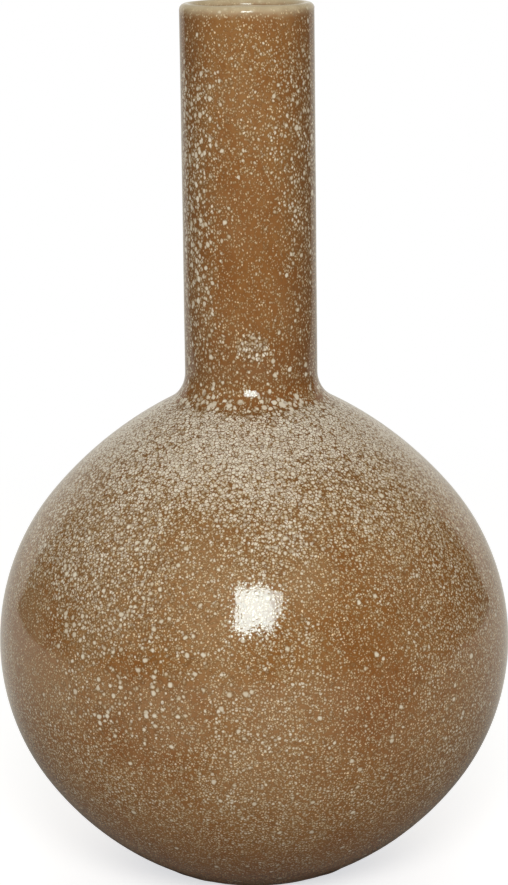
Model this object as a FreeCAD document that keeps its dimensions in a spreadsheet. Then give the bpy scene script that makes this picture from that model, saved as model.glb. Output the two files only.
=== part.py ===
import FreeCAD, Part
import os
import Sketcher

# Round-bellied bottle vase with a straight neck, in millimetres. It stands on the XY plane,
# and every member is turned about the Z axis.
#
# Seen from the side, the visible surface is a chain of arcs that run into each other without
# a kink: underside, lower belly, upper belly, shoulder, neck root, and then the straight neck
# with its half-round lip. Clay and glaze have even thickness, so every hidden surface is the
# same chain at some depth under the visible one: a full bend loses that depth, and the
# hollow bend at the neck root gains it.

doc = FreeCAD.newDocument("BottleVase")

# Driving dimensions. Lengths are in millimetres and sweeps in degrees.
driving_sizes = (
    ("belly_radius", "147.0", "axis to the widest glazed surface"),
    ("equator_height", "134.4", "table to the widest ring"),
    ("upper_belly_bend", "134.3", "arc above the widest ring"),
    ("upper_belly_sweep", "40.6", "how far that arc turns before the shoulder takes over"),
    ("shoulder_bend", "224.5", "flatter arc that climbs to the neck"),
    ("lower_belly_bend", "129.2", "arc below the widest ring"),
    ("lower_belly_sweep", "35.9", "how far that arc turns before the underside takes over"),
    ("neck_radius", "37.8", "axis to the glazed outside of the neck"),
    ("neck_root_bend", "18.3", "hollow rounding where the neck stands on the shoulder"),
    ("neck_length", "208.8", "top of that rounding to the top of the lip"),
    ("foot_radius", "48.8", "axis to the outer edge of the standing ring"),
    ("foot_width", "11.8", "standing ring, across the bare face"),
    ("foot_height", "3.0", "standing ring, table to the glaze line"),
    ("foot_edge_rounding", "0.8", "worn edges of the standing ring"),
    ("floor_thickness", "8.0", "clay under the liquid"),
    ("clay_wall", "5.7", "fired clay, everywhere above the floor"),
    ("glaze_thickness", "0.8", "speckled outer glaze"),
    ("liner_thickness", "0.5", "plain glaze inside"),
    ("seam_thickness", "1.0", "slip between the two halves of the belly"),
    ("seam_bevel", "4.0", "rise of the bevelled rims from outside to inside"),
    ("seam_groove", "0.4", "how far the slip has shrunk back from the glaze"),
)

# Places that follow from them. An arc's centre lies _out from the axis and _up from the table.
derived_places = (
    ("clay_depth", "Sizes.glaze_thickness"),
    ("hollow_depth", "clay_depth + Sizes.clay_wall"),
    ("liner_depth", "hollow_depth + Sizes.liner_thickness"),
    ("upper_belly_out", "Sizes.belly_radius - Sizes.upper_belly_bend"),
    ("upper_belly_up", "Sizes.equator_height"),
    ("extra_bend", "Sizes.shoulder_bend - Sizes.upper_belly_bend"),
    ("shoulder_out", "upper_belly_out - extra_bend * cos(Sizes.upper_belly_sweep)"),
    ("shoulder_up", "upper_belly_up - extra_bend * sin(Sizes.upper_belly_sweep)"),
    ("lower_belly_out", "Sizes.belly_radius - Sizes.lower_belly_bend"),
    ("lower_belly_up", "Sizes.equator_height"),
    # The underside leaves the lower belly's end without a kink and reaches the table at the foot.
    ("turn_out", "lower_belly_out + Sizes.lower_belly_bend * cos(Sizes.lower_belly_sweep)"),
    ("turn_up", "lower_belly_up - Sizes.lower_belly_bend * sin(Sizes.lower_belly_sweep)"),
    ("span_out", "turn_out - Sizes.foot_radius"),
    ("span_inward", "span_out * cos(Sizes.lower_belly_sweep) - turn_up * sin(Sizes.lower_belly_sweep)"),
    ("underside_bend", "(span_out ^ 2 + turn_up ^ 2) / (2 * span_inward)"),
    ("underside_out", "turn_out - underside_bend * cos(Sizes.lower_belly_sweep)"),
    ("underside_up", "turn_up + underside_bend * sin(Sizes.lower_belly_sweep)"),
    # The neck root's arc touches the shoulder from outside, and then the neck's side.
    ("neck_root_out", "Sizes.neck_radius + Sizes.neck_root_bend"),
    ("centre_distance", "Sizes.shoulder_bend + Sizes.neck_root_bend"),
    ("centre_rise", "sqrt(centre_distance ^ 2 - (neck_root_out - shoulder_out) ^ 2)"),
    ("neck_root_up", "shoulder_up + centre_rise"),
    ("touch_out_share", "(neck_root_out - shoulder_out) / centre_distance"),
    ("touch_up_share", "centre_rise / centre_distance"),
    # The dome is cut level where its clay would meet the neck's clay, and the neck stands there.
    ("clay_neck_radius", "Sizes.neck_radius - clay_depth"),
    ("clay_shoulder_bend", "Sizes.shoulder_bend - clay_depth"),
    ("seat_up", "shoulder_up + sqrt(clay_shoulder_bend ^ 2 - (clay_neck_radius - shoulder_out) ^ 2)"),
    # The glazed lip and the clay lip inside it are half round, about centres at one height.
    ("lip_bend", "liner_depth / 2"),
    ("lip_out", "Sizes.neck_radius - lip_bend"),
    ("lip_up", "neck_root_up + Sizes.neck_length - lip_bend"),
    ("clay_lip_bend", "Sizes.clay_wall / 2"),
    ("clay_lip_out", "clay_neck_radius - clay_lip_bend"),
    ("clay_lip_up", "lip_up"),
    ("floor_up", "Sizes.foot_height + Sizes.floor_thickness"),
    ("liner_floor_up", "floor_up + Sizes.liner_thickness"),
    ("foot_inner_radius", "Sizes.foot_radius - Sizes.foot_width"),
    # The bevelled seam ends level with the equator inside and lies below it outside.
    ("dome_rim_outside", "Sizes.equator_height - Sizes.seam_bevel"),
    ("bowl_rim_inside", "Sizes.equator_height - Sizes.seam_thickness"),
    ("bowl_rim_outside", "dome_rim_outside - Sizes.seam_thickness"),
    ("groove_share", "Sizes.seam_groove / Sizes.clay_wall"),
)

# The bend of each arc of the visible surface, and +1 for a full arc or -1 for a hollow one.
arc_bends = {
    "underside": ("Places.underside_bend", 1),
    "lower_belly": ("Sizes.lower_belly_bend", 1),
    "upper_belly": ("Sizes.upper_belly_bend", 1),
    "shoulder": ("Sizes.shoulder_bend", 1),
    "neck_root": ("Sizes.neck_root_bend", -1),
    "lip": ("Places.lip_bend", 1),
    "clay_lip": ("Places.clay_lip_bend", 1),
}

# Depths under the visible surface.
visible = "0"
clay = "Places.clay_depth"
hollow = "Places.hollow_depth"
inside = "Places.liner_depth"

on_axis = "0"
on_table = "0"
straight = None
full_turn = 360


def fill_sheet(name, rows, lead):
    """Fills a sheet with one row for each named value."""
    sheet = doc.addObject("Spreadsheet::Sheet", name)
    for row, (alias, content, *note) in enumerate(rows, start=1):
        sheet.set(f"A{row}", alias)
        sheet.set(f"B{row}", lead + content)
        sheet.setAlias(f"B{row}", alias)
        sheet.set(f"C{row}", " ".join(note))
    doc.recompute()
    return sheet


fill_sheet("Sizes", driving_sizes, "")
places = fill_sheet("Places", derived_places, "=")


def value(expression):
    """The value that an expression of the sheets has now."""
    return float(places.evalExpression(expression))


def bend_at(arc, depth):
    """The radius of an arc at a depth under the visible surface."""
    bend, side = arc_bends[arc]
    return f"({bend} - {depth})" if side > 0 else f"({bend} + {depth})"


def at_height(arc, depth, height):
    """Where an arc passes a height, as a pair of expressions: out from the axis, and up."""
    sign = "+" if arc_bends[arc][1] > 0 else "-"
    rise = f"(Places.{arc}_up - {height})"
    return (f"Places.{arc}_out {sign} sqrt({bend_at(arc, depth)} ^ 2 - {rise} ^ 2)", height)


def lower_turn(depth):
    """Where the lower belly ends and the underside begins."""
    bend = bend_at("lower_belly", depth)
    out = f"Places.lower_belly_out + {bend} * cos(Sizes.lower_belly_sweep)"
    return (out, f"Places.lower_belly_up - {bend} * sin(Sizes.lower_belly_sweep)")


def equator(depth):
    return (f"Sizes.belly_radius - {depth}", "Sizes.equator_height")


def upper_turn(depth):
    """Where the upper belly ends and the shoulder begins."""
    bend = bend_at("upper_belly", depth)
    out = f"Places.upper_belly_out + {bend} * cos(Sizes.upper_belly_sweep)"
    return (out, f"Places.upper_belly_up + {bend} * sin(Sizes.upper_belly_sweep)")


def shoulder_end(depth):
    """Where the shoulder ends and the neck root begins."""
    bend = bend_at("shoulder", depth)
    out = f"Places.shoulder_out + {bend} * Places.touch_out_share"
    return (out, f"Places.shoulder_up + {bend} * Places.touch_up_share")


def neck_side(depth, height):
    return (f"Sizes.neck_radius - {depth}", height)


def along(start, end, share):
    """The point a share of the way along a straight edge."""
    return tuple(f"({first}) * (1 - {share}) + ({last}) * {share}" for first, last in zip(start, end))


# An outline is a closed list of corners, each with the edge that leaves it: an arc and its
# depth, or straight.


def upwards(depth):
    """The chain from the lower turn to the straight neck."""
    return [
        (lower_turn(depth), ("lower_belly", depth)),
        (equator(depth), ("upper_belly", depth)),
        (upper_turn(depth), ("shoulder", depth)),
        (shoulder_end(depth), ("neck_root", depth)),
    ]


def downwards(depth):
    """The same chain from the straight neck to the lower turn, without that last corner."""
    return [
        (neck_side(depth, "Places.neck_root_up"), ("neck_root", depth)),
        (shoulder_end(depth), ("shoulder", depth)),
        (upper_turn(depth), ("upper_belly", depth)),
        (equator(depth), ("lower_belly", depth)),
    ]


def lip_crest(arc):
    return (f"Places.{arc}_out", f"Places.{arc}_up + Places.{arc}_bend")


def spanned_arc(start, end, edge):
    """The shorter arc from start to end about the edge's own centre."""
    arc, depth = edge
    centre = FreeCAD.Vector(value(f"Places.{arc}_out"), value(f"Places.{arc}_up"), 0)
    towards = (start + end) / 2 - centre
    middle = centre + towards.normalize() * value(bend_at(arc, depth))
    return Part.Arc(start, middle, end)


def bind(sketch, constraint, name, expression):
    """Adds a constraint whose size follows an expression of the sheets."""
    sketch.renameConstraint(sketch.addConstraint(constraint), name)
    sketch.setExpression(f"Constraints.{name}", expression)


def bind_corner(sketch, name, edge, end, point):
    """Holds one end of an edge on the axis or the table, or at its distances from them."""
    out, up = point
    origin = (-1, 1)
    if out == on_axis:
        sketch.addConstraint(Sketcher.Constraint("PointOnObject", edge, end, -2))
    else:
        distance = Sketcher.Constraint("DistanceX", *origin, edge, end, value(out))
        bind(sketch, distance, f"out_{name}", out)
    if up == on_table:
        sketch.addConstraint(Sketcher.Constraint("PointOnObject", edge, end, -1))
    else:
        distance = Sketcher.Constraint("DistanceY", *origin, edge, end, value(up))
        bind(sketch, distance, f"up_{name}", up)


def draw(sketch, outline):
    """Draws an outline, joins its edges and binds its corners and bends to the sheets."""
    corners = [FreeCAD.Vector(value(out), value(up), 0) for (out, up), edge in outline]
    ends = []
    for number, (point, edge) in enumerate(outline):
        start = corners[number]
        end = corners[(number + 1) % len(corners)]
        shape = Part.LineSegment(start, end) if edge is straight else spanned_arc(start, end, edge)
        sketch.addGeometry(shape, False)
        # A sketch stores each arc anticlockwise, so its first end may be the outline's next corner.
        to_start = sketch.getPoint(number, 1).distanceToPoint(start)
        to_end = sketch.getPoint(number, 1).distanceToPoint(end)
        ends.append((1, 2) if to_start < to_end else (2, 1))
    for number, (point, edge) in enumerate(outline):
        following = (number + 1) % len(outline)
        joint = Sketcher.Constraint("Coincident", number, ends[number][1], following, ends[following][0])
        sketch.addConstraint(joint)
        bind_corner(sketch, f"corner_{number}", number, ends[number][0], point)
        if edge is not straight:
            bend = bend_at(*edge)
            bind(sketch, Sketcher.Constraint("Radius", number, value(bend)), f"bend_{number}", bend)


def turned_body(label, outline):
    """A body, drawn where it stands, whose upright outline is turned once about the Z axis."""
    body = doc.addObject("PartDesign::Body", label)
    body.Label = label
    body.Placement = FreeCAD.Placement()
    upright = next(plane for plane in body.Origin.OriginFeatures if plane.Role == "XZ_Plane")
    sketch = body.newObject("Sketcher::SketchObject", f"{label}_outline")
    sketch.AttachmentSupport = [(upright, "")]
    sketch.MapMode = "FlatFace"
    draw(sketch, outline)
    turning = body.newObject("PartDesign::Revolution", f"{label}_turned")
    turning.Profile = sketch
    turning.ReferenceAxis = (sketch, ["V_Axis"])
    turning.Angle = full_turn
    sketch.Visibility = False
    doc.recompute()
    return body


def make_foot_ring():
    """The bare standing ring under the bowl, with its worn edges."""
    body = turned_body("foot_ring", [
        (("Places.foot_inner_radius", on_table), straight),
        (("Sizes.foot_radius", on_table), straight),
        (at_height("underside", clay, "Sizes.foot_height"), straight),
        (("Places.foot_inner_radius", "Sizes.foot_height"), straight),
    ])
    turning = body.Tip
    worn = [
        f"Edge{place}"
        for place, edge in enumerate(turning.Shape.Edges, start=1)
        if edge.Closed and abs(edge.BoundBox.ZMax) < edge.Tolerance * 2
    ]
    rounding = body.newObject("PartDesign::Fillet", "foot_ring_rounded")
    rounding.Base = (turning, worn)
    rounding.setExpression("Radius", "Sizes.foot_edge_rounding")
    return body


def make_lower_bowl():
    """Clay: the floor, the underside and the lower belly, up to its bevelled rim."""
    return turned_body("lower_bowl", [
        ((on_axis, "Sizes.foot_height"), straight),
        (at_height("underside", clay, "Sizes.foot_height"), ("underside", clay)),
        (lower_turn(clay), ("lower_belly", clay)),
        (at_height("lower_belly", clay, "Places.bowl_rim_outside"), straight),
        (at_height("lower_belly", hollow, "Places.bowl_rim_inside"), ("lower_belly", hollow)),
        (lower_turn(hollow), ("underside", hollow)),
        (at_height("underside", hollow, "Places.floor_up"), straight),
        ((on_axis, "Places.floor_up"), straight),
    ])


def make_belly_seam_slip():
    """The slip that joins the two bevelled rims. It has dried back from the outside a little."""
    bowl_outside = at_height("lower_belly", clay, "Places.bowl_rim_outside")
    bowl_inside = at_height("lower_belly", hollow, "Places.bowl_rim_inside")
    dome_outside = at_height("lower_belly", clay, "Places.dome_rim_outside")
    dome_inside = equator(hollow)
    return turned_body("belly_seam_slip", [
        (along(bowl_outside, bowl_inside, "Places.groove_share"), straight),
        (along(dome_outside, dome_inside, "Places.groove_share"), straight),
        (dome_inside, ("lower_belly", hollow)),
        (bowl_inside, straight),
    ])


def make_upper_dome():
    """Clay: the upper belly and the shoulder, up to the level seat of the neck."""
    return turned_body("upper_dome", [
        (at_height("lower_belly", clay, "Places.dome_rim_outside"), ("lower_belly", clay)),
        (equator(clay), ("upper_belly", clay)),
        (upper_turn(clay), ("shoulder", clay)),
        (neck_side(clay, "Places.seat_up"), straight),
        (at_height("neck_root", hollow, "Places.seat_up"), ("neck_root", hollow)),
        (shoulder_end(hollow), ("shoulder", hollow)),
        (upper_turn(hollow), ("upper_belly", hollow)),
        (equator(hollow), straight),
    ])


def make_neck_joint_coil():
    """The coil of clay that fills the corner between the neck and the shoulder."""
    return turned_body("neck_joint_coil", [
        (neck_side(clay, "Places.seat_up"), straight),
        (neck_side(clay, "Places.neck_root_up"), ("neck_root", clay)),
        (shoulder_end(clay), ("shoulder", clay)),
    ])


def make_neck_tube():
    """Clay: the straight neck, flared inside where it stands on the dome, with its round lip."""
    return turned_body("neck_tube", [
        (neck_side(clay, "Places.seat_up"), straight),
        (neck_side(clay, "Places.lip_up"), ("clay_lip", visible)),
        (lip_crest("clay_lip"), ("clay_lip", visible)),
        (neck_side(hollow, "Places.lip_up"), straight),
        (neck_side(hollow, "Places.neck_root_up"), ("neck_root", hollow)),
        (at_height("neck_root", hollow, "Places.seat_up"), straight),
    ])


def make_outer_glaze():
    """The glaze from the standing ring up over the lip, which ends inside the mouth."""
    return turned_body("outer_glaze", [
        (at_height("underside", visible, "Sizes.foot_height"), ("underside", visible)),
        *upwards(visible),
        (neck_side(visible, "Places.neck_root_up"), straight),
        (neck_side(visible, "Places.lip_up"), ("lip", visible)),
        (lip_crest("lip"), ("lip", visible)),
        (neck_side(inside, "Places.lip_up"), straight),
        (neck_side(hollow, "Places.lip_up"), ("clay_lip", visible)),
        (lip_crest("clay_lip"), ("clay_lip", visible)),
        (neck_side(clay, "Places.lip_up"), straight),
        *downwards(clay),
        (lower_turn(clay), ("underside", clay)),
        (at_height("underside", clay, "Sizes.foot_height"), straight),
    ])


def make_liner_glaze():
    """The glaze that seals the floor, the hollow belly and the neck inside."""
    return turned_body("liner_glaze", [
        ((on_axis, "Places.floor_up"), straight),
        (at_height("underside", hollow, "Places.floor_up"), ("underside", hollow)),
        *upwards(hollow),
        (neck_side(hollow, "Places.neck_root_up"), straight),
        (neck_side(hollow, "Places.lip_up"), straight),
        (neck_side(inside, "Places.lip_up"), straight),
        *downwards(inside),
        (lower_turn(inside), ("underside", inside)),
        (at_height("underside", inside, "Places.liner_floor_up"), straight),
        ((on_axis, "Places.liner_floor_up"), straight),
    ])


bodies = (
    make_foot_ring(),
    make_lower_bowl(),
    make_belly_seam_slip(),
    make_upper_dome(),
    make_neck_joint_coil(),
    make_neck_tube(),
    make_outer_glaze(),
    make_liner_glaze(),
)
doc.recompute()

for item in doc.Objects:
    if "Invalid" in item.State or "Error" in item.State:
        raise RuntimeError(f"{item.Label} failed to recompute: {item.State}")
for body in bodies:
    if body.Shape.isNull() or not body.Shape.isValid() or body.Shape.Volume <= 0:
        raise RuntimeError(f"{body.Label} has no valid solid")

os.makedirs("parts", exist_ok=True)
for body in bodies:
    body.Shape.exportStep(f"parts/{body.Label}.step")
    box = body.Shape.BoundBox
    print(f"{body.Label}: {body.Shape.Volume:.0f} mm3, radius {box.XMax:.2f}, {box.ZMin:.2f} to {box.ZMax:.2f} mm")
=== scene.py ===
import bpy
import numpy as np
from mathutils import Matrix, Vector


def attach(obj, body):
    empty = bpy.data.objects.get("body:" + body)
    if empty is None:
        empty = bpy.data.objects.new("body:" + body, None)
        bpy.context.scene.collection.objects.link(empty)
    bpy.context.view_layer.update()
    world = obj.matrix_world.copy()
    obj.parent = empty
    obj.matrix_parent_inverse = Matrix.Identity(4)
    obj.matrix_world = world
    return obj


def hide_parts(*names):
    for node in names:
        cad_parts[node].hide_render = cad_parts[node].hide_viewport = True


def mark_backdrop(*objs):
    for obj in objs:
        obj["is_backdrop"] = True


# Bottle vase with a speckled reactive glaze. Lengths are in metres unless a note says otherwise.
# The vase stands on the origin with its axis along Z, and the photograph looks along +Y.

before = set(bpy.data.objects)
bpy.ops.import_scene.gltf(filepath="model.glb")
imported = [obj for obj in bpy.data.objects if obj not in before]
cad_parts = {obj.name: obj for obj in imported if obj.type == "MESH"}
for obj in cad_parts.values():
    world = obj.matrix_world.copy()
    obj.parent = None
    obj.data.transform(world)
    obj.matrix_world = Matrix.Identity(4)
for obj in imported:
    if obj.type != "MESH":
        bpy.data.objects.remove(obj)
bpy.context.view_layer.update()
print("stage 1: the packed frame is in")

millimetre = 0.001

# The visible outline, in millimetres and degrees, with the sizes that the solids have.
vaseShape = {
    "bellyRadius": 147.0, "equatorHeight": 134.4,
    "upperBend": 134.3, "upperSweep": 40.6,
    "shoulderBend": 224.5,
    "lowerBend": 129.2, "lowerSweep": 35.9,
    "neckRadius": 37.8, "neckRootBend": 18.3, "neckLength": 208.8, "lipBend": 3.5,
    "footRadius": 48.8, "footHeight": 3.0, "floorThickness": 8.0,
    "clayWall": 5.7, "glazeDepth": 0.8, "linerDepth": 0.5,
}


def arcLine(centre, bend, start, end, step):
    # Points on a circle about centre, from one direction in degrees to another, step apart.
    count = max(6, int(round(abs(np.radians(end - start)) * bend / step)))
    turn = np.radians(np.linspace(start, end, count + 1))
    return np.column_stack((centre[0] + bend * np.cos(turn), centre[1] + bend * np.sin(turn)))


def straightLine(start, end, step):
    # Evenly spaced points from start to end.
    start, end = np.array(start, float), np.array(end, float)
    count = max(1, int(round(np.linalg.norm(end - start) / step)))
    return start + (end - start) * np.linspace(0, 1, count + 1)[:, None]


def joinLines(lines):
    # One line of points; where one line ends and the next begins, the point is kept once.
    points = np.vstack(lines)
    gap = np.linalg.norm(np.diff(points, axis=0), axis=1)
    return points[np.concatenate(([True], gap > 1e-4))]


def vaseArcs(s):
    # Centres and bends of the arcs that make the outline, each with its side: full or hollow.
    extra = s["shoulderBend"] - s["upperBend"]
    sweep = np.radians(s["upperSweep"])
    upper = (s["bellyRadius"] - s["upperBend"], s["equatorHeight"])
    shoulder = (upper[0] - extra * np.cos(sweep), upper[1] - extra * np.sin(sweep))
    lower = (s["bellyRadius"] - s["lowerBend"], s["equatorHeight"])
    low = np.radians(s["lowerSweep"])
    turn = (lower[0] + s["lowerBend"] * np.cos(low), lower[1] - s["lowerBend"] * np.sin(low))
    span = turn[0] - s["footRadius"]
    under = (span ** 2 + turn[1] ** 2) / (2 * (span * np.cos(low) - turn[1] * np.sin(low)))
    underside = (turn[0] - under * np.cos(low), turn[1] + under * np.sin(low))
    rootOut = s["neckRadius"] + s["neckRootBend"]
    reach = s["shoulderBend"] + s["neckRootBend"]
    rise = np.sqrt(reach ** 2 - (rootOut - shoulder[0]) ** 2)
    touch = np.degrees(np.arctan2(rise, rootOut - shoulder[0]))
    return {
        "underside": (underside, under, 1), "lower": (lower, s["lowerBend"], 1),
        "upper": (upper, s["upperBend"], 1), "shoulder": (shoulder, s["shoulderBend"], 1),
        "root": ((rootOut, shoulder[1] + rise), s["neckRootBend"], -1), "touch": touch,
    }


vaseArc = vaseArcs(vaseShape)
rootUp = vaseArc["root"][0][1]
lipUp = rootUp + vaseShape["neckLength"] - vaseShape["lipBend"]


def wallLine(depth, bottom, step):
    # The outline at a depth under the visible surface, from the height bottom up to the lip.
    def bend(name):
        centre, size, side = vaseArc[name]
        return centre, size - depth * side
    s = vaseShape
    rootStep = step * 0.6  # the neck root's bend is tighter, so its points are closer together
    centre, size = bend("underside")
    start = np.degrees(np.arcsin((bottom - centre[1]) / size))
    touch = vaseArc["touch"]
    neck = s["neckRadius"] - depth
    return joinLines([
        arcLine(centre, size, start, -s["lowerSweep"], step),
        arcLine(*bend("lower"), -s["lowerSweep"], 0, step),
        arcLine(*bend("upper"), 0, s["upperSweep"], step),
        arcLine(*bend("shoulder"), s["upperSweep"], touch, step),
        arcLine(*bend("root"), 180 + touch, 180, rootStep),
        straightLine((neck, rootUp), (neck, lipUp), step),
    ])


def addPiece(name, points, faces, materials):
    # A mesh of these points and faces, on an object at the origin.
    mesh = bpy.data.meshes.new(name)
    mesh.from_pydata(points, [], faces)
    for material in materials:
        mesh.materials.append(material)
    piece = bpy.data.objects.new(name, mesh)
    bpy.context.scene.collection.objects.link(piece)
    return piece


def turnedShell(name, outline, columns, material, wobble=None):
    # A closed outline of (radius, height) turned about Z: point (i, j) is the outline's point i
    # at the angle 2*pi*j/columns, moved along the outline's normal by wobble(angle, length, line).
    line = np.asarray(outline) * millimetre
    angle = np.arange(columns) * 2 * np.pi / columns
    tangent = np.roll(line, -1, 0) - np.roll(line, 1, 0)
    normal = np.column_stack((tangent[:, 1], -tangent[:, 0]))
    normal /= np.linalg.norm(normal, axis=1)[:, None]
    length = np.concatenate(([0], np.cumsum(np.linalg.norm(np.diff(line, axis=0), axis=1))))
    shift = np.zeros((len(line), columns))
    if wobble:
        shift = wobble(angle[None, :], length[:, None], line)
    radius = line[:, :1] + normal[:, :1] * shift
    height = line[:, 1:] + normal[:, 1:] * shift
    points = np.stack((radius * np.cos(angle), radius * np.sin(angle), height), axis=-1).reshape(-1, 3)
    ring = np.arange(len(line))[:, None] * columns
    after = np.roll(np.arange(len(line)), -1)[:, None] * columns
    here, there = np.arange(columns)[None, :], np.roll(np.arange(columns), -1)[None, :]
    quads = np.stack((ring + here, ring + there, after + there, after + here), axis=-1).reshape(-1, 4)
    piece = addPiece(name, points, quads.tolist(), [material])
    piece.data.polygons.foreach_set("use_smooth", np.ones(len(quads), bool))
    piece.data.update()
    return piece


# Material helpers. Wherever a content goes into a socket, it is another node's output or a value.

def feed(tree, socket, content):
    if isinstance(content, bpy.types.NodeSocket):
        tree.links.new(content, socket)
    else:
        socket.default_value = content


def addNode(tree, kind, **settings):
    # Settings are the node's inputs by name, or else its own properties.
    node = tree.nodes.new(kind)
    for key, content in settings.items():
        if key in node.inputs:
            feed(tree, node.inputs[key], content)
        else:
            setattr(node, key, content)
    return node


def calculate(tree, operation, *contents, clamp=False):
    node = addNode(tree, "ShaderNodeMath", operation=operation, use_clamp=clamp)
    for socket, content in zip(node.inputs, contents):
        feed(tree, socket, content)
    return node.outputs[0]


def times(tree, first, second, clamp=False):
    return calculate(tree, "MULTIPLY", first, second, clamp=clamp)


def plus(tree, first, second, clamp=False):
    return calculate(tree, "ADD", first, second, clamp=clamp)


def timesPlus(tree, first, second, third, clamp=False):
    return calculate(tree, "MULTIPLY_ADD", first, second, third, clamp=clamp)


def vectorMath(tree, operation, *contents):
    node = addNode(tree, "ShaderNodeVectorMath", operation=operation)
    for socket, content in zip(node.inputs, contents):
        feed(tree, socket, content)
    return node.outputs


def separate(tree, vector):
    return addNode(tree, "ShaderNodeSeparateXYZ", Vector=vector).outputs


def blendColours(tree, share, first, second):
    node = addNode(tree, "ShaderNodeMix", data_type="RGBA")
    inputs = {socket.identifier: socket for socket in node.inputs}
    feed(tree, inputs["Factor_Float"], share)
    for name, content in (("A_Color", first), ("B_Color", second)):
        feed(tree, inputs[name], (*content, 1) if isinstance(content, tuple) else content)
    return next(s for s in node.outputs if s.identifier == "Result_Color")


def ramp(tree, value, low, high, start=0.0, end=1.0):
    # Smooth step from start, where value is low, to end, where it is high.
    node = addNode(tree, "ShaderNodeMapRange", interpolation_type="SMOOTHSTEP")
    for key, content in (("Value", value), ("From Min", low), ("From Max", high),
                         ("To Min", start), ("To Max", end)):
        feed(tree, node.inputs[key], content)
    return node.outputs[0]


def curveByHeight(tree, height, stops):
    # A value that follows the height above the table; stops are (millimetres, value).
    top = 500.0  # the height at the curve's end
    node = tree.nodes.new("ShaderNodeValToRGB")
    tree.links.new(times(tree, height, 1 / (top * millimetre)), node.inputs[0])
    elements = node.color_ramp.elements
    while len(elements) < len(stops):
        elements.new(0.5)
    # A stop may change its number while it moves, so all are placed before any gets its value.
    for element, (place, value) in zip(elements, stops):
        element.position = place / top
    for element, (place, value) in zip(elements, stops):
        element.color = (value, value, value, 1)
    return node.outputs[0]


def nodeGroup(name, inputs, outputs):
    # An empty shader group with named inputs (name, default) and outputs, and its two end nodes.
    tree = bpy.data.node_groups.new(name, "ShaderNodeTree")
    for label, default in inputs:
        kind = "NodeSocketVector" if label == "Vector" else "NodeSocketFloat"
        socket = tree.interface.new_socket(label, in_out="INPUT", socket_type=kind)
        if default is not None:
            socket.default_value = default
    for label in outputs:
        tree.interface.new_socket(label, in_out="OUTPUT", socket_type="NodeSocketFloat")
    return tree, tree.nodes.new("NodeGroupInput").outputs, tree.nodes.new("NodeGroupOutput").inputs


def makeSpotGroup():
    # Round spots: each cell of a 3-D Voronoi pattern may hold a ball, and the surface cuts it.
    # Mask is the spot, Core rises to its middle, Ring lies round it, and Tone is its own number.
    coreRise, ringWidth = 2.0, 0.16
    tree, given, put = nodeGroup("glazeSpots", [
        ("Vector", None), ("Fineness", 450.0), ("Radius", 0.35), ("Spread", 0.3),
        ("Share", 1.0), ("Softness", 0.12)], ["Mask", "Core", "Ring", "Tone"])
    cells = addNode(tree, "ShaderNodeTexVoronoi", Vector=given["Vector"], Scale=given["Fineness"])
    distance = cells.outputs["Distance"]
    random = addNode(tree, "ShaderNodeSeparateColor", Color=cells.outputs["Color"]).outputs
    spread = timesPlus(tree, random[0], 2.0, -1.0)
    radius = times(tree, given["Radius"], timesPlus(tree, spread, given["Spread"], 1.0))
    there = calculate(tree, "LESS_THAN", random[1], given["Share"])
    outer = plus(tree, radius, given["Softness"])
    inner = calculate(tree, "SUBTRACT", radius, given["Softness"])
    core = times(tree, calculate(tree, "SUBTRACT", outer, distance), coreRise, clamp=True)
    shapes = {
        "Mask": ramp(tree, distance, outer, inner), "Core": core,
        "Ring": ramp(tree, distance, plus(tree, outer, ringWidth), outer),
    }
    for label, shape in shapes.items():
        tree.links.new(times(tree, shape, there), put[label])
    tree.links.new(random[2], put["Tone"])
    return tree


def makeCloudGroup():
    # Soft clouds of a wanted size, stretched along Z, for mottling, streaks and fine relief.
    # Raw is the plain noise, and Cloud is what lies between Low and High, spread over 0 to 1.
    noiseRoughness = 0.55
    tree, given, put = nodeGroup("softClouds", [
        ("Vector", None), ("Fineness", 40.0), ("Stretch", 1.0), ("Detail", 3.0),
        ("Low", 0.35), ("High", 0.65)], ["Cloud", "Raw"])
    squeeze = calculate(tree, "DIVIDE", 1.0, given["Stretch"])
    scale = addNode(tree, "ShaderNodeCombineXYZ", X=1.0, Y=1.0, Z=squeeze).outputs[0]
    stretched = vectorMath(tree, "MULTIPLY", given["Vector"], scale)[0]
    noise = addNode(tree, "ShaderNodeTexNoise", Vector=stretched, Scale=given["Fineness"],
                    Detail=given["Detail"], Roughness=noiseRoughness)
    tree.links.new(ramp(tree, noise.outputs[0], given["Low"], given["High"]), put["Cloud"])
    tree.links.new(noise.outputs[0], put["Raw"])
    return tree


spotGroup = makeSpotGroup()
cloudGroup = makeCloudGroup()


def spots(tree, vector, **values):
    node = addNode(tree, "ShaderNodeGroup", node_tree=spotGroup, label="spots", Vector=vector, **values)
    return node.outputs


def clouds(tree, vector, **values):
    node = addNode(tree, "ShaderNodeGroup", node_tree=cloudGroup, label="clouds", Vector=vector, **values)
    return node.outputs


def swing(tree, vector, fineness, width):
    # A slow change of about half the width to either side of nothing.
    return timesPlus(tree, clouds(tree, vector, Fineness=fineness)["Raw"], width, -width / 2)


def emptyMaterial(name):
    material = bpy.data.materials.new(name)
    material.use_nodes = True
    material.node_tree.nodes.clear()
    return material, material.node_tree


def showShader(tree, shader):
    tree.links.new(shader.outputs[0], tree.nodes.new("ShaderNodeOutputMaterial").inputs[0])


def newMaterial(name):
    material, tree = emptyMaterial(name)
    shader = tree.nodes.new("ShaderNodeBsdfPrincipled")
    showShader(tree, shader)
    return material, tree, shader, tree.nodes.new("ShaderNodeTexCoord").outputs["Object"]


def addRelief(tree, shader, depth, height):
    bump = addNode(tree, "ShaderNodeBump", Strength=1.0, Distance=depth, Height=height)
    tree.links.new(bump.outputs[0], shader.inputs["Normal"])


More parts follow.
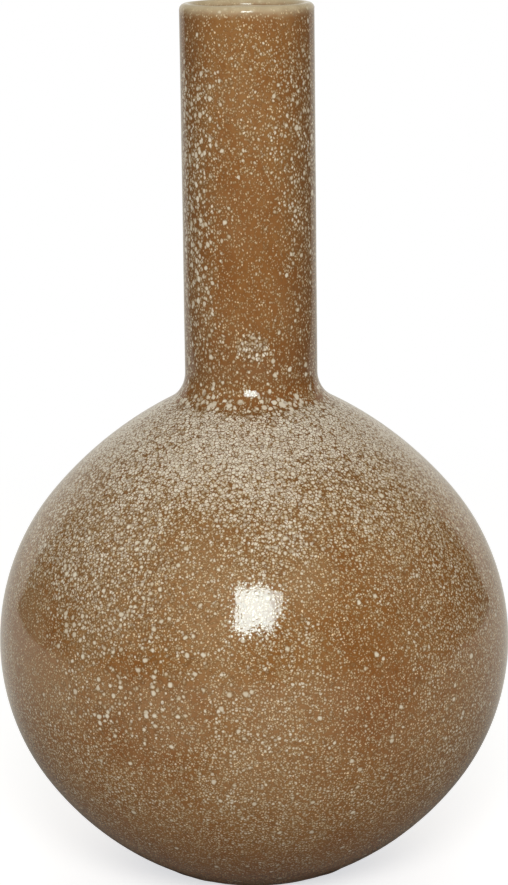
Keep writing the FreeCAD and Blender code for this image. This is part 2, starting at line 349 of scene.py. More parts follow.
glazeFinish = {
    # The gap colour is the dark brown between spots, and also paints shade: round the spots, between crowded
    # grain and on the neck's sides.
    "caramel": (0.292, 0.136, 0.041), "rust": (0.238, 0.086, 0.019), "olive": (0.345, 0.192, 0.086),
    "joint": (0.205, 0.060, 0.014), "lip": (0.640, 0.545, 0.365), "gap": (0.160, 0.072, 0.023),
    "pale": (0.830, 0.777, 0.670), "paleEdge": (0.435, 0.312, 0.158), "fleck": (0.930, 0.760, 0.515),
    "gloss": 0.034, "spotGloss": 0.06, "relief": 0.00007, "refraction": 1.6,
    # How much of the colours is laid on under the spots.
    "shares": {
        # The two side shares paint shade down the neck's left and right sides.
        "rustOfClouds": 0.55, "rustOfPlaces": 0.75, "rustySideShade": 0.75, "fineRust": 0.50,
        "oliveOfPlaces": -0.9, "joint": 0.42, "darkerRight": 0.22, "darkSideShade": 0.42, "lip": 0.9,
    },
    "clouds": {
        "rust": {"Fineness": 38.0, "Stretch": 1.5, "Low": 0.42, "High": 0.66},
        "fineRust": {"Fineness": 210.0, "Stretch": 1.6, "Low": 0.40, "High": 0.68},
        "olive": {"Fineness": 24.0, "Stretch": 1.0, "Low": 0.38, "High": 0.62},
        "dropPatch": {"Fineness": 26.0, "Low": 0.48, "High": 0.66},
        "fine": {"Fineness": 950.0, "Detail": 1.0}, "peel": {"Fineness": 120.0, "Detail": 2.0},
    },
    # Fineness and width of the slow changes: two of heights, in metres, and two of the grain's size.
    "swings": {"waver": (160.0, 0.010), "slow": (62.0, 0.030), "drift": (30.0, 0.44), "clump": (130.0, 0.34)},
    # Each zone begins and is full at two places across the vase, and at two heights.
    "zones": {
        "neckLeft": ((-0.008, -0.028), (0.278, 0.330)), "neckRight": ((0.012, 0.030), (0.285, 0.380)),
        # The neck's side zone is painted shade down the neck's left and right sides.
        "neckSideShade": ((0.018, 0.036), (0.285, 0.300)), "rightFlank": ((0.030, 0.080), (0.190, 0.215)),
        "leftShoulder": ((-0.030, -0.080), (0.180, 0.205)),
    },
    "belowLip": (0.485, 0.450), "jointLow": (0.2735, 0.2765), "jointHigh": (0.2930, 0.2790),
    "lipEdge": (0.4920, 0.5010), "lipWaver": 0.5,
    "oliveLeft": (0.09, -0.04, 0.35, 1.0),  # from the right to the left, and the olive at both ends
    # What follows the height above the table, as stops of (millimetres, value).
    "heights": {
        "olive": [(0, 0.0), (60, 0.3), (130, 0.75), (200, 0.75), (285, 0.3), (500, 0.25)],
        "rust": [
            (0, 0.75), (40, 0.58), (80, 0.12), (130, 0.0), (270, 0.0), (300, 0.60), (350, 0.28), (430, 0.0)],
        "darker": [(0, 0.0), (284, 0.0), (291, 0.26), (306, 0.20), (330, 0.0)],
        "grainSize": [
            (0, 0.24), (40, 0.30), (75, 0.38), (115, 0.38), (150, 0.36), (190, 0.42), (208, 0.49),
            (224, 0.53), (240, 0.66), (256, 0.88), (273.5, 0.92), (276.5, 0.46), (284, 0.36), (294, 0.31),
            (330, 0.29), (420, 0.33), (480, 0.27), (492, 0.05)],
        "speckSize": [
            (0, 0.34), (60, 0.43), (120, 0.43), (160, 0.43), (190, 0.46), (230, 0.48), (273.5, 0.38),
            (300, 0.36), (500, 0.38)],
        "dropShare": [
            (0, 0.05), (70, 0.12), (140, 0.25), (200, 0.30), (235, 0.25), (272, 0.10), (276.5, 0.98),
            (283, 0.95), (288, 0.20), (360, 0.18), (470, 0.10), (490, 0.0)],
        "crowdedGapShade": [(0, 0.20), (225, 0.25), (252, 0.62)],
        "heart": [(0, 0.90), (150, 0.88), (215, 0.86), (240, 0.88), (256, 0.96), (270, 1.06)],
    },
    # Layers of spots. Fineness is in cells per metre, and sizes are in cells.
    "spots": {
        "specks": {"Fineness": 740.0, "Spread": 0.30, "Share": 0.95, "Softness": 0.06},
        "grain": {"Fineness": 535.0, "Spread": 0.36, "Softness": 0.09},
        "drops": {"Fineness": 345.0, "Spread": 0.40, "Softness": 0.08},
        "blobs": {"Fineness": 225.0, "Spread": 0.38, "Softness": 0.08},
    },
    "dropSize": 0.28, "blobSize": 0.28, "blobShare": 0.16,
    "speckGrowth": 0.4,  # the specks' share of what a place adds to the grain
    "dropPatches": (1.1, 0.45),  # gain of a patch, and what is left between patches
    # What the zones add to the spots' sizes and shares.
    "zoneGains": {
        "grainSize": (("neckLeft", 0.12), ("neckRight", 0.07)), "speckSize": (("rightFlank", 0.05),),
        "blobShare": (("neckRight", 0.45), ("joint", 0.40)), "blobSize": (("neckRight", 0.04),),
        "dropShare": (("neckLeft", 0.70), ("neckRight", 0.30)),
        "dropSize": (("joint", 0.24), ("neckLeft", 0.10)),
    },
    # The spots' outlines are bent by this width, and drawn out above the neck's foot.
    "bend": {"fineness": 430.0, "width": 0.0016, "drawnOut": 0.77, "neckFoot": 0.27},
    # Grain that is larger than a part of its cell grows together, and its border stays brown.
    # Where the grain is crowded, the glaze between the cells is darkened: brown glaze with painted shade in
    # the gaps.
    "border": (0.02, 0.13), "crowdedGapShade": (0.40, 0.56),
    # How the colours are laid on: ring, edge and heart, whose share is least plus its own tone.
    # The dark ring round each spot is partly glaze run thin and partly painted shade at the spot's foot.
    "speckColours": {"edge": 0.62, "ring": 0.25, "heart": (0.20, 0.75), "tone": 0.72,
                     "leastAside": (0.085, 0.130, 0.27, 0.37)},
    "grainColours": {"edge": 0.75, "ring": 0.40, "heart": (0.26, 0.90), "tone": 0.40, "least": 0.60,
                     "palerByDrops": 0.15, "palerOnLeft": 0.15},
    "dropColours": {"edge": 0.70, "ring": 0.45, "heart": (0.14, 0.50), "tone": 0.35, "least": 0.50,
                    "palerOnLeft": 0.12},
    # Heights in the relief, as shares of the whole.
    "domes": {"blobs": 0.8, "grain": 0.5, "drops": 0.6, "specks": 0.08},
    "noises": {"fine": 0.08, "peel": 0.3},
    # Places where the glaze differs: centre, full within, gone beyond, then what is added to the
    # grain's size, the share of drops, the share of blobs and the rust.
    "places": (
        ((0.001, -0.038, 0.311), 0.006, 0.011, 0.27, 1.00, 0.95, 0.0),
        ((-0.011, -0.079, 0.255), 0.010, 0.050, 0.10, 0.10, 0.0, 0.0),
        ((0.005, -0.112, 0.224), 0.008, 0.034, 0.06, 0.50, 0.10, 0.0),
        ((-0.085, -0.100, 0.200), 0.028, 0.062, 0.02, 0.50, 0.85, -0.40),
        ((-0.070, -0.122, 0.155), 0.030, 0.062, -0.02, 0.36, 0.70, -0.2),
        ((-0.028, -0.118, 0.222), 0.008, 0.032, -0.14, -0.10, 0.0, -0.3),
        ((0.012, -0.125, 0.212), 0.015, 0.045, 0.0, 0.15, 0.0, -0.3),
        ((-0.120, -0.078, 0.165), 0.014, 0.042, -0.14, -0.40, -0.50, 1.2),
        ((-0.028, -0.129, 0.190), 0.008, 0.032, -0.04, -0.15, -0.08, -0.6),
        ((0.035, -0.128, 0.194), 0.006, 0.026, -0.03, -0.12, -0.08, -0.6),
        ((0.112, -0.080, 0.183), 0.012, 0.045, 0.0, 0.05, -0.10, 0.6),
        ((0.063, -0.133, 0.131), 0.014, 0.052, -0.10, 0.0, 0.0, 0.9),
        ((-0.060, -0.133, 0.124), 0.014, 0.050, -0.11, 0.05, -0.02, 1.1),
        ((0.080, -0.095, 0.208), 0.020, 0.070, 0.0, -0.05, 0.0, 0.0),
        ((0.062, -0.105, 0.232), 0.015, 0.050, -0.05, -0.05, 0.0, -0.1),
        ((0.062, -0.121, 0.188), 0.015, 0.045, -0.08, -0.05, 0.0, 0.4),
        ((-0.095, -0.080, 0.208), 0.025, 0.080, 0.07, 0.38, 0.20, 0.0),
        ((0.005, -0.135, 0.080), 0.020, 0.070, 0.05, -0.05, -0.10, -0.3),
        ((-0.004, -0.038, 0.347), 0.010, 0.036, -0.08, -0.16, -0.15, 0.1),
        ((0.004, -0.038, 0.395), 0.006, 0.026, -0.05, -0.12, -0.12, 0.0),
    ),
}


def placeGains(tree, place):
    # Sums over the places: how near the surface is to each, from 0 to 1, times what is added there.
    sums = [0.0, 0.0, 0.0, 0.0]
    for centre, inner, outer, *gains in glazeFinish["places"]:
        distance = vectorMath(tree, "DISTANCE", place, centre)["Value"]
        near = ramp(tree, distance, outer, inner)
        for slot, gain in enumerate(gains):
            if gain:
                sums[slot] = timesPlus(tree, near, gain, sums[slot])
    return dict(zip(("grain", "drops", "blobs", "rust"), sums))


def glazeZones(tree, across, height):
    # How far a point is inside each zone, from 0 to 1.
    aside = calculate(tree, "ABSOLUTE", across)
    belowLip = ramp(tree, height, *glazeFinish["belowLip"])
    zone = {}
    for name, (sideEdges, upEdges) in glazeFinish["zones"].items():
        side = ramp(tree, aside if name == "neckSideShade" else across, *sideEdges)
        up = ramp(tree, height, *upEdges)
        if name in ("neckLeft", "neckRight"):
            up = times(tree, up, belowLip)
        zone[name] = times(tree, side, up)
    return zone


def addZones(tree, name, start, zone):
    # What the zones add to a size or share of spots.
    for part, gain in glazeFinish["zoneGains"][name]:
        start = timesPlus(tree, zone[part], gain, start)
    return start


def bodyColour(tree, place, axes, zone, moreRust):
    # Caramel, with rusty clouds and short streaks, and olive clouds low down and on the left.
    g, shares, heights = glazeFinish, glazeFinish["shares"], glazeFinish["heights"]
    rust, fineRust, olive = (
        clouds(tree, place, **g["clouds"][name])["Cloud"] for name in ("rust", "fineRust", "olive"))
    oliveHere = times(tree, curveByHeight(tree, axes[2], heights["olive"]),
                      ramp(tree, axes[0], *g["oliveLeft"]))
    # More rust down the neck's sides is painted shade, in the rust's colour.
    moreRust = timesPlus(tree, zone["neckSideShade"], shares["rustySideShade"], moreRust)
    moreRust = plus(tree, moreRust, curveByHeight(tree, axes[2], heights["rust"]))
    rustShare = timesPlus(tree, moreRust, shares["rustOfPlaces"],
                          times(tree, rust, shares["rustOfClouds"]), clamp=True)
    colour = blendColours(tree, rustShare, g["caramel"], g["rust"])
    colour = blendColours(tree, times(tree, fineRust, shares["fineRust"]), colour, g["rust"])
    # Where a place takes rust away, olive takes over.
    lessRust = calculate(tree, "MINIMUM", moreRust, 0.0)
    oliveShare = timesPlus(tree, lessRust, shares["oliveOfPlaces"], times(tree, olive, oliveHere))
    return blendColours(tree, oliveShare, colour, g["olive"])


def jointColour(tree, colour, wavy, zone):
    # The glaze runs thin and red where the neck meets the shoulder, and is darker just above.
    g, shares = glazeFinish, glazeFinish["shares"]
    colour = blendColours(tree, times(tree, zone["joint"], shares["joint"]), colour, g["joint"])
    # Darker on the neck's right and just above the joint; down the neck's sides this is painted shade.
    darker = timesPlus(tree, zone["neckRight"], shares["darkerRight"],
                       times(tree, zone["neckSideShade"], shares["darkSideShade"]))
    darker = plus(tree, darker, curveByHeight(tree, wavy, g["heights"]["darker"]))
    return blendColours(tree, darker, colour, g["gap"])


def bentPlace(tree, place):
    # The spots aren't quite round, and on the neck they are drawn out upwards.
    b = glazeFinish["bend"]
    uneven = addNode(tree, "ShaderNodeTexNoise", Vector=place, Scale=b["fineness"], Detail=1.0)
    shift = vectorMath(tree, "MULTIPLY_ADD", uneven.outputs["Color"],
                       (b["width"],) * 3, (-b["width"] / 2,) * 3)[0]
    crooked = vectorMath(tree, "ADD", place, shift)[0]
    axes = separate(tree, crooked)
    above = timesPlus(tree, axes[2], b["drawnOut"], b["neckFoot"] * (1 - b["drawnOut"]))
    up = calculate(tree, "MINIMUM", axes[2], above)
    return crooked, addNode(tree, "ShaderNodeCombineXYZ", X=axes[0], Y=axes[1], Z=up).outputs[0]


def spotLayers(tree, place, crooked, drawn, wavy, zone, grainSize, more):
    # Specks, grain, drops and blobs, from small to large. The drops lie thick on the neck's left
    # side, along the joint and in patches on the belly.
    g, heights = glazeFinish, glazeFinish["heights"]
    speckSize = addZones(tree, "speckSize", curveByHeight(tree, wavy, heights["speckSize"]), zone)
    speckSize = timesPlus(tree, more["grain"], g["speckGrowth"], speckSize)
    patch = clouds(tree, place, **g["clouds"]["dropPatch"])["Cloud"]
    dropShare = times(tree, curveByHeight(tree, wavy, heights["dropShare"]),
                      timesPlus(tree, patch, *g["dropPatches"]))
    dropShare = addZones(tree, "dropShare", plus(tree, dropShare, more["drops"]), zone)
    blobShare = addZones(tree, "blobShare", plus(tree, more["blobs"], g["blobShare"]), zone)
    dropSize, blobSize = (addZones(tree, name, g[name], zone) for name in ("dropSize", "blobSize"))
    return {
        "specks": spots(tree, drawn, Radius=speckSize, **g["spots"]["specks"]),
        "grain": spots(tree, drawn, Radius=grainSize, **g["spots"]["grain"]),
        "drops": spots(tree, drawn, Radius=dropSize, Share=dropShare, **g["spots"]["drops"]),
        "blobs": spots(tree, crooked, Radius=blobSize, Share=blobShare, **g["spots"]["blobs"]),
    }


def laySpecks(tree, colour, specks, across):
    # The specks stand out more at the belly's sides.
    g, lay = glazeFinish, glazeFinish["speckColours"]
    colour = blendColours(tree, times(tree, specks["Mask"], lay["edge"]), colour, g["paleEdge"])
    # The dark ring round each speck is partly thinner glaze and partly painted shade.
    colour = blendColours(tree, times(tree, specks["Ring"], lay["ring"]), colour, g["gap"])
    least = ramp(tree, calculate(tree, "ABSOLUTE", across), *lay["leastAside"])
    share = times(tree, ramp(tree, specks["Core"], *lay["heart"]),
                  timesPlus(tree, specks["Tone"], lay["tone"], least, clamp=True))
    return blendColours(tree, share, colour, g["fleck"])


def layGrain(tree, colour, grain, drawn, wavy, zone, more):
    # A thin dark line, brown glaze with painted shade, is left between cells that have grown together.
    # Their hearts are paler where there are more drops, and on the left shoulder.
    g, lay, heights = glazeFinish, glazeFinish["grainColours"], glazeFinish["heights"]
    border = addNode(tree, "ShaderNodeTexVoronoi", feature="DISTANCE_TO_EDGE", Vector=drawn,
                     Scale=g["spots"]["grain"]["Fineness"])
    packed = ramp(tree, border.outputs["Distance"], *g["border"])
    # The ring round each grain is partly thinner glaze and partly painted shade.
    colour = blendColours(tree, times(tree, grain["Ring"], lay["ring"]), colour, g["gap"])
    mask = times(tree, grain["Mask"], packed)
    colour = blendColours(tree, times(tree, mask, lay["edge"]), colour, g["paleEdge"])
    share = timesPlus(tree, grain["Tone"], lay["tone"], lay["least"])
    share = times(tree, share, timesPlus(tree, more["drops"], lay["palerByDrops"], 1.0))
    share = times(tree, share, timesPlus(tree, zone["leftShoulder"], lay["palerOnLeft"], 1.0))
    share = times(tree, share, curveByHeight(tree, wavy, heights["heart"]))
    heart = times(tree, ramp(tree, grain["Core"], *lay["heart"]), packed)
    return blendColours(tree, times(tree, heart, share), colour, g["pale"]), mask


def layDrops(tree, colour, drops, zone):
    # Drops and blobs: a brown ring, partly thinner glaze and partly painted shade, a pale edge and a paler
    # heart.
    g, lay = glazeFinish, glazeFinish["dropColours"]
    colour = blendColours(tree, times(tree, drops["Ring"], lay["ring"]), colour, g["gap"])
    colour = blendColours(tree, times(tree, drops["Mask"], lay["edge"]), colour, g["paleEdge"])
    least = timesPlus(tree, zone["leftShoulder"], lay["palerOnLeft"], lay["least"])
    share = times(tree, ramp(tree, drops["Core"], *lay["heart"]),
                  timesPlus(tree, drops["Tone"], lay["tone"], least))
    return blendColours(tree, share, colour, g["pale"])


def glazeRelief(tree, place, drawn, layer):
    # Each spot is a low dome, over a fine grain and a faint orange peel.
    g, dome = glazeFinish, 0.0
    for name, gain in g["domes"].items():
        dome = timesPlus(tree, layer[name]["Core"], gain, dome)
    for name, vector in (("fine", drawn), ("peel", place)):
        noise = clouds(tree, vector, **g["clouds"][name])["Raw"]
        dome = timesPlus(tree, noise, g["noises"][name], dome)
    return dome


def makeGlaze():
    g, heights = glazeFinish, glazeFinish["heights"]
    material, tree, shader, place = newMaterial("speckledGlaze")
    axes = separate(tree, place)
    height = axes[2]
    more = placeGains(tree, place)
    waver, slow, drift, clump = (
        swing(tree, place, *g["swings"][name]) for name in ("waver", "slow", "drift", "clump"))
    wavy = plus(tree, height, waver)
    zone = glazeZones(tree, axes[0], height)
    zone["joint"] = times(tree, ramp(tree, wavy, *g["jointLow"]),
                          ramp(tree, plus(tree, wavy, slow), *g["jointHigh"]))
    colour = bodyColour(tree, place, axes, zone, more["rust"])
    colour = jointColour(tree, colour, wavy, zone)
    # Pale grain: close-packed on the shoulder, and thinning out below and on the neck.
    grainSize = plus(tree, curveByHeight(tree, wavy, heights["grainSize"]), plus(tree, drift, clump))
    grainSize = addZones(tree, "grainSize", plus(tree, grainSize, more["grain"]), zone)
    crooked, drawn = bentPlace(tree, place)
    layer = spotLayers(tree, place, crooked, drawn, wavy, zone, grainSize, more)
    # Where the grain is crowded, the base is darkened towards the gap colour: painted shade between the
    # cells.
    crowdedGapShade = times(tree, ramp(tree, grainSize, *g["crowdedGapShade"]),
                    curveByHeight(tree, wavy, heights["crowdedGapShade"]))
    colour = blendColours(tree, crowdedGapShade, colour, g["gap"])
    colour = laySpecks(tree, colour, layer["specks"], axes[0])
    colour, grainMask = layGrain(tree, colour, layer["grain"], drawn, wavy, zone, more)
    for name in ("drops", "blobs"):
        colour = layDrops(tree, colour, layer[name], zone)
    # The lip stands bare of specks and pale, where the glaze has run off it.
    lip = ramp(tree, plus(tree, height, times(tree, waver, g["lipWaver"])), *g["lipEdge"])
    colour = blendColours(tree, times(tree, lip, g["shares"]["lip"]), colour, g["lip"])
    tree.links.new(colour, shader.inputs["Base Color"])
    large = calculate(tree, "MAXIMUM", layer["drops"]["Mask"], layer["blobs"]["Mask"])
    pale = calculate(tree, "MAXIMUM", grainMask, large)
    gloss = timesPlus(tree, pale, g["spotGloss"] - g["gloss"], g["gloss"])
    tree.links.new(gloss, shader.inputs["Roughness"])
    addRelief(tree, shader, g["relief"], glazeRelief(tree, place, drawn, layer))
    shader.inputs["IOR"].default_value = g["refraction"]
    return material


linerFinish = {
    "beige": (0.66, 0.56, 0.40), "deep": (0.50, 0.38, 0.23), "deepOfPatches": 0.35, "deepOfPins": 0.4,
    "gloss": 0.14, "duller": 0.08, "relief": 0.00005,
    "patches": {"Fineness": 55.0, "Stretch": 2.0, "Low": 0.35, "High": 0.7},
    "pins": {"Fineness": 380.0, "Radius": 0.20, "Share": 0.12, "Softness": 0.06},
    "peel": {"Fineness": 140.0, "Detail": 2.0},
}


def makeLiner():
    # Plain beige glaze with deeper patches and a few pin marks.
    f = linerFinish
    material, tree, shader, place = newMaterial("linerGlazeFinish")
    patch = clouds(tree, place, **f["patches"])["Cloud"]
    colour = blendColours(tree, times(tree, patch, f["deepOfPatches"]), f["beige"], f["deep"])
    pin = spots(tree, place, **f["pins"])["Mask"]
    colour = blendColours(tree, times(tree, pin, f["deepOfPins"]), colour, f["deep"])
    tree.links.new(colour, shader.inputs["Base Color"])
    tree.links.new(timesPlus(tree, patch, f["duller"], f["gloss"]), shader.inputs["Roughness"])
    addRelief(tree, shader, f["relief"], clouds(tree, place, **f["peel"])["Raw"])
    return material


clayFinish = {
    "body": (0.52, 0.39, 0.25), "warm": (0.44, 0.28, 0.16), "warmShare": 0.6,
    "grog": (0.70, 0.62, 0.48), "grogShare": 0.5, "iron": (0.10, 0.05, 0.03), "ironShare": 0.7,
    "dullness": 0.72, "duller": 0.2, "relief": 0.00010,
    "warmClouds": {"Fineness": 45.0, "Low": 0.4, "High": 0.7},
    "grogGrains": {"Fineness": 900.0, "Radius": 0.33, "Share": 0.45, "Softness": 0.10},
    "ironSpots": {"Fineness": 420.0, "Radius": 0.20, "Share": 0.18, "Softness": 0.06},
    "grit": {"Fineness": 1400.0, "Detail": 3.0}, "grogRise": 0.6,
}


def makeClay():
    # Matt fired clay with grains of grog and a few iron spots.
    c = clayFinish
    material, tree, shader, place = newMaterial("bareClay")
    warm = clouds(tree, place, **c["warmClouds"])["Cloud"]
    colour = blendColours(tree, times(tree, warm, c["warmShare"]), c["body"], c["warm"])
    grog = spots(tree, place, **c["grogGrains"])
    iron = spots(tree, place, **c["ironSpots"])
    colour = blendColours(tree, times(tree, grog["Mask"], c["grogShare"]), colour, c["grog"])
    colour = blendColours(tree, times(tree, iron["Mask"], c["ironShare"]), colour, c["iron"])
    tree.links.new(colour, shader.inputs["Base Color"])
    grit = clouds(tree, place, **c["grit"])["Raw"]
    tree.links.new(timesPlus(tree, grit, c["duller"], c["dullness"]), shader.inputs["Roughness"])
    addRelief(tree, shader, c["relief"], timesPlus(tree, grog["Core"], c["grogRise"], grit))
    return material


speckledGlaze = makeGlaze()
linerGlaze = makeLiner()
bareClay = makeClay()
print("stage 2: materials")

# Outline sizes are in millimetres. The waves are (times round, per metre of wall, share, phase).
coatSizes = {
    "columns": 340, "step": 3.4, "hiddenStep": 9.0, "hiddenDepth": 0.75,
    "lipStep": 0.55, "clayLipIn": 2.85, "clayLipBend": 2.88, "clayLipStep": 1.2,
    "swell": 0.16,  # slow unevenness left by the hand
    "waves": ((2, 9.0, 0.50, 0.3), (3, 14.0, 0.34, 2.1), (5, 23.0, 0.26, 4.4), (7, 37.0, 0.16, 1.2),
              (11, 61.0, 0.10, 5.1), (17, 83.0, 0.07, 0.9), (26, 120.0, 0.05, 3.3)),
    # The thicker roll above the foot ring, with waves of (times round, share, phase).
    "roll": 0.35, "rollAt": 3.5, "rollWidth": 2.2, "rollWaves": ((9, 0.35, 1.0), (23, 0.2, 0.0)),
    "evenFoot": 12.0,  # the other waves begin over this much of the wall
}


def coatOutline(c):
    # Up the visible face and over the lip, then back down the hidden face.
    s = vaseShape
    visible = wallLine(0.0, s["footHeight"], c["step"])
    hidden = wallLine(c["hiddenDepth"], s["footHeight"], c["hiddenStep"])
    lip = arcLine((s["neckRadius"] - s["lipBend"], lipUp), s["lipBend"], 0, 180, c["lipStep"])
    clayLipCentre = (s["neckRadius"] - s["glazeDepth"] - c["clayLipIn"], lipUp)
    clayLip = arcLine(clayLipCentre, c["clayLipBend"], 180, 0, c["clayLipStep"])
    return joinLines([visible, lip, clayLip, hidden[::-1]]), len(visible)


coatLine, visibleCount = coatOutline(coatSizes)


def coatWobble(angle, length, line):
    # A few slow waves round and along the visible wall, and a thicker roll at the glaze line: sums
    # of sines of the angle and the wall's length, and a bell curve of the length.
    c = coatSizes
    total = sum(size * np.sin(around * angle + along * length + phase)
                for around, along, size, phase in c["waves"])
    belowLip = line[:, 1:] < lipUp * millimetre + 1e-6
    share = np.clip(length / (c["evenFoot"] * millimetre), 0, 1) * belowLip
    visible = (np.arange(len(line)) < visibleCount)[:, None]
    roll = np.exp(-((length - c["rollAt"] * millimetre) / (c["rollWidth"] * millimetre)) ** 2)
    roll = roll * sum((size * np.sin(around * angle + phase) for around, size, phase in c["rollWaves"]), 1.0)
    return visible * (total * c["swell"] * share + roll * c["roll"]) * millimetre


coat = turnedShell("speckledGlazeCoat", coatLine, coatSizes["columns"], speckledGlaze, coatWobble)
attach(coat, "root")
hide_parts("outer_glaze")

linerSizes = {"columns": 240, "step": 4.0, "floorStep": 6.0, "centre": 0.02}


def linerOutline(c):
    # Out along the floor's clay and up the face against it, then down the inner face and back in.
    s = vaseShape
    hollow = s["glazeDepth"] + s["clayWall"]
    clayFloor = s["footHeight"] + s["floorThickness"]
    glazeFloor = clayFloor + s["linerDepth"]
    inner = wallLine(hollow + s["linerDepth"], glazeFloor, c["step"])
    outer = wallLine(hollow, clayFloor, c["step"])
    return joinLines([
        straightLine((c["centre"], clayFloor), outer[0], c["floorStep"]), outer, inner[::-1],
        straightLine(inner[0], (c["centre"], glazeFloor), c["floorStep"])])


liner = turnedShell("linerGlazeSkin", linerOutline(linerSizes), linerSizes["columns"], linerGlaze)
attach(liner, "root")
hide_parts("liner_glaze")

for name in ("foot_ring", "lower_bowl", "belly_seam_slip", "upper_dome", "neck_joint_coil", "neck_tube"):
    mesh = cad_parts[name].data
    mesh.materials.clear()
    mesh.materials.append(bareClay)
print("stage 3: glaze coat, liner and clay")

# What the glaze mirrors is a backdrop behind the vase, as many degrees wide as its bands of
# light are, in a dim room. The backdrop and the light from behind fade by the ray's direction.
worldLook = {
    "ambient": 0.35, "fromBehind": 0.90, "front": 0.06, "backdrop": 0.76,
    "halfWidth": 47.0, "edge": 1.5, "fadeUp": (0.85, 0.05), "fadeBehind": (0.25, 0.85),
    "warm": (1.0, 0.960, 0.86),
}

# The floor fades to white by its distance. In reflections the white paper is a strip behind the vase.
stageSizes = {
    "rings": (0.001, 0.3, 1.0, 4.0, 14.0), "columns": 64, "under": 0.0001,
    "fadeStart": 0.45, "fadeEnd": 1.3, "nearer": 3.2,
    "floorTone": 0.62, "lift": 0.67, "liftTint": (0.955, 0.970, 1, 1),
    "halfWidth": 1.5, "edge": 0.06, "backdropAt": 1.4, "frontGone": -0.40, "frontFull": 0.50,
    "mirrored": 0.64, "floorMirrored": 0.26,
}


def rayKinds(tree):
    # What the ray is: seen by the camera, and seen in a reflection or through glass.
    path = tree.nodes.new("ShaderNodeLightPath").outputs
    return path["Is Camera Ray"], plus(tree, path["Is Glossy Ray"], path["Is Transmission Ray"], clamp=True)


def mixShaders(tree, share, first, second):
    mix = tree.nodes.new("ShaderNodeMixShader")
    for socket, content in zip(mix.inputs, (share, first.outputs[0], second.outputs[0])):
        feed(tree, socket, content)
    return mix


def floorMaterial():
    # Grey near the vase, where its shadow falls, and white further out.
    s = stageSizes
    material, tree = emptyMaterial("paleFloor")
    place = tree.nodes.new("ShaderNodeTexCoord").outputs["Object"]
    direct, mirrored = rayKinds(tree)
    distance = vectorMath(tree, "LENGTH", place)["Value"]
    reach = times(tree, distance, timesPlus(tree, mirrored, s["nearer"] - 1.0, 1.0))
    far = ramp(tree, reach, s["fadeStart"], s["fadeEnd"])
    axes = separate(tree, place)
    # Beyond the backdrop's foot the strip widens with the distance.
    widening = calculate(tree, "MAXIMUM", calculate(tree, "DIVIDE", axes[1], s["backdropAt"]), 1.0)
    half = times(tree, widening, s["halfWidth"])
    aside = calculate(tree, "SUBTRACT", calculate(tree, "ABSOLUTE", axes[0]), half)
    behind = times(tree, ramp(tree, aside, s["edge"], -s["edge"]),
                   ramp(tree, axes[1], s["frontGone"], s["frontFull"]))
    seen = timesPlus(tree, mirrored, behind, direct, clamp=True)
    grey = addNode(tree, "ShaderNodeBsdfDiffuse", Color=blendColours(
        tree, mirrored, (s["floorTone"],) * 3, (s["floorMirrored"],) * 3))
    lift = addNode(tree, "ShaderNodeEmission", Color=s["liftTint"], Strength=times(tree, direct, s["lift"]))
    lit = tree.nodes.new("ShaderNodeAddShader")
    tree.links.new(grey.outputs[0], lit.inputs[0])
    tree.links.new(lift.outputs[0], lit.inputs[1])
    white = addNode(tree, "ShaderNodeEmission",
                    Color=blendColours(tree, mirrored, (1, 1, 1), worldLook["warm"]),
                    Strength=timesPlus(tree, mirrored, s["mirrored"] - 1.0, 1.0))
    showShader(tree, mixShaders(tree, times(tree, far, seen), lit, white))
    return material


def makeFloor():
    # A flat disc of rings of points round the origin, a little under the foot.
    s = stageSizes
    rings, columns = np.array(s["rings"]), s["columns"]
    angle = np.arange(columns) * 2 * np.pi / columns
    points = np.stack((rings[:, None] * np.cos(angle), rings[:, None] * np.sin(angle),
                       np.full((len(rings), columns), -s["under"])), axis=-1).reshape(-1, 3)
    row, column = np.arange(len(rings) - 1)[:, None] * columns, np.arange(columns)[None, :]
    after = np.roll(np.arange(columns), -1)[None, :]
    quads = np.stack((row + column, row + columns + column, row + columns + after, row + after), axis=-1)
    faces = quads.reshape(-1, 4).tolist() + [list(range(columns))]
    floor = addPiece("floor", points, faces, [floorMaterial()])
    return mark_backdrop(floor)


def makeWorld():
    # White to the camera; in reflections a wide white backdrop behind the vase and a dim room.
    w = worldLook
    world = bpy.data.worlds.new("studio")
    bpy.context.scene.world = world
    world.use_nodes = True
    tree = world.node_tree
    tree.nodes.clear()
    axes = separate(tree, tree.nodes.new("ShaderNodeTexCoord").outputs["Generated"])
    azimuth = calculate(tree, "ABSOLUTE", calculate(tree, "DEGREES", calculate(
        tree, "ARCTAN2", axes[0], axes[1])))
    behind = ramp(tree, azimuth, w["halfWidth"] + w["edge"], w["halfWidth"] - w["edge"])
    wall = times(tree, behind, ramp(tree, axes[2], *w["fadeUp"]))
    mirroredLevel = timesPlus(tree, wall, w["backdrop"] - w["front"], w["front"])
    lightLevel = timesPlus(tree, ramp(tree, axes[1], *w["fadeBehind"]), w["fromBehind"], w["ambient"])
    direct, mirrored = rayKinds(tree)
    strength = plus(tree, times(tree, mirrored, mirroredLevel),
                    times(tree, calculate(tree, "SUBTRACT", 1.0, mirrored), lightLevel))
    room = addNode(tree, "ShaderNodeBackground", Color=(*w["warm"], 1), Strength=strength)
    white = addNode(tree, "ShaderNodeBackground", Color=(1, 1, 1, 1), Strength=1.0)
    output = tree.nodes.new("ShaderNodeOutputWorld")
    tree.links.new(mixShaders(tree, direct, room, white).outputs[0], output.inputs[0])


makeFloor()
makeWorld()

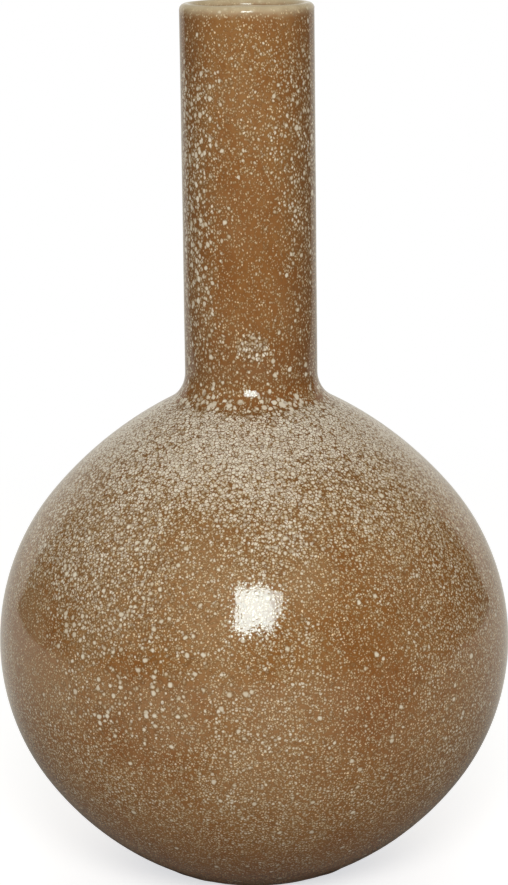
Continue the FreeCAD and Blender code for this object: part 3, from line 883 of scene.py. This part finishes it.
# A square panel with a notch in its lower edge and a dimmer right end, in shares of its sizes.
softbox = {
    "centre": (0.050, -1.44, 1.005), "target": (0, -0.10, 0.19), "width": 0.60, "height": 0.68,
    "radiance": 16.9, "dimShare": 0.62, "warm": (1.0, 0.985, 0.95), "cool": (0.67, 0.775, 0.765),
    "backTone": 0.02,
    "bright": [(-0.5, -0.5), (-0.14, -0.5), (0.0, -0.36), (0.12, -0.5), (0.28, -0.48), (0.27, 0.33),
               (0.02, 0.42), (-0.48, 0.36)],
    "dim": [(0.28, -0.34), (0.46, -0.12), (0.5, 0.28), (0.27, 0.33)],
}


def panelMaterial(radiance):
    # Light from the front face only. Its mirror image in the glaze is cooler and dimmer.
    s = softbox
    material, tree = emptyMaterial("softboxGlow")
    path = tree.nodes.new("ShaderNodeLightPath").outputs
    tint = blendColours(tree, path["Is Glossy Ray"], s["warm"], s["cool"])
    glow = addNode(tree, "ShaderNodeEmission", Color=tint, Strength=radiance)
    dark = addNode(tree, "ShaderNodeBsdfDiffuse", Color=(*(s["backTone"],) * 3, 1))
    side = tree.nodes.new("ShaderNodeNewGeometry").outputs["Backfacing"]
    showShader(tree, mixShaders(tree, side, glow, dark))
    return material


def makeSoftbox():
    # A flat panel at its centre that faces the target. Corners are shares of its width and height.
    s = softbox
    centre = Vector(s["centre"])
    back = (centre - Vector(s["target"])).normalized()
    across = Vector((0, 0, 1)).cross(back).normalized()
    upright = back.cross(across)
    corners = s["bright"] + s["dim"]
    points = [tuple(centre + across * x * s["width"] + upright * y * s["height"]) for x, y in corners]
    count = len(s["bright"])
    faces = [list(range(count))[::-1], list(range(count, len(corners)))[::-1]]
    glows = [panelMaterial(s["radiance"] * share) for share in (1.0, s["dimShare"])]
    panel = addPiece("softbox", points, faces, glows)
    panel.data.polygons[1].material_index = 1
    panel.visible_camera = False
    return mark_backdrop(panel)


makeSoftbox()

# Metres and degrees, and millimetres for the lens and its sensor.
photoCamera = {
    "back": 1.742, "height": 0.606, "tilt": 11.56, "roll": 0.66, "pan": -0.040, "focal": 126.18,
    "sensor": 36.0, "clip": (0.05, 60.0),
}


def makeCamera():
    # Looks along +Y and down by the tilt, turned a little about its own axis.
    c = photoCamera
    lens = bpy.data.cameras.new("photoCamera")
    lens.sensor_width = c["sensor"]
    lens.lens = c["focal"]
    lens.clip_start, lens.clip_end = c["clip"]
    camera = bpy.data.objects.new("photoCamera", lens)
    bpy.context.scene.collection.objects.link(camera)
    turn = (Matrix.Rotation(np.radians(c["pan"]), 4, "Z")
            @ Matrix.Rotation(np.radians(90 - c["tilt"]), 4, "X")
            @ Matrix.Rotation(np.radians(-c["roll"]), 4, "Z"))
    camera.matrix_world = Matrix.Translation((0, -c["back"], c["height"])) @ turn
    bpy.context.scene.camera = camera


makeCamera()
bpy.context.scene.view_settings.view_transform = "Standard"
print("stage 4: floor, light and camera")
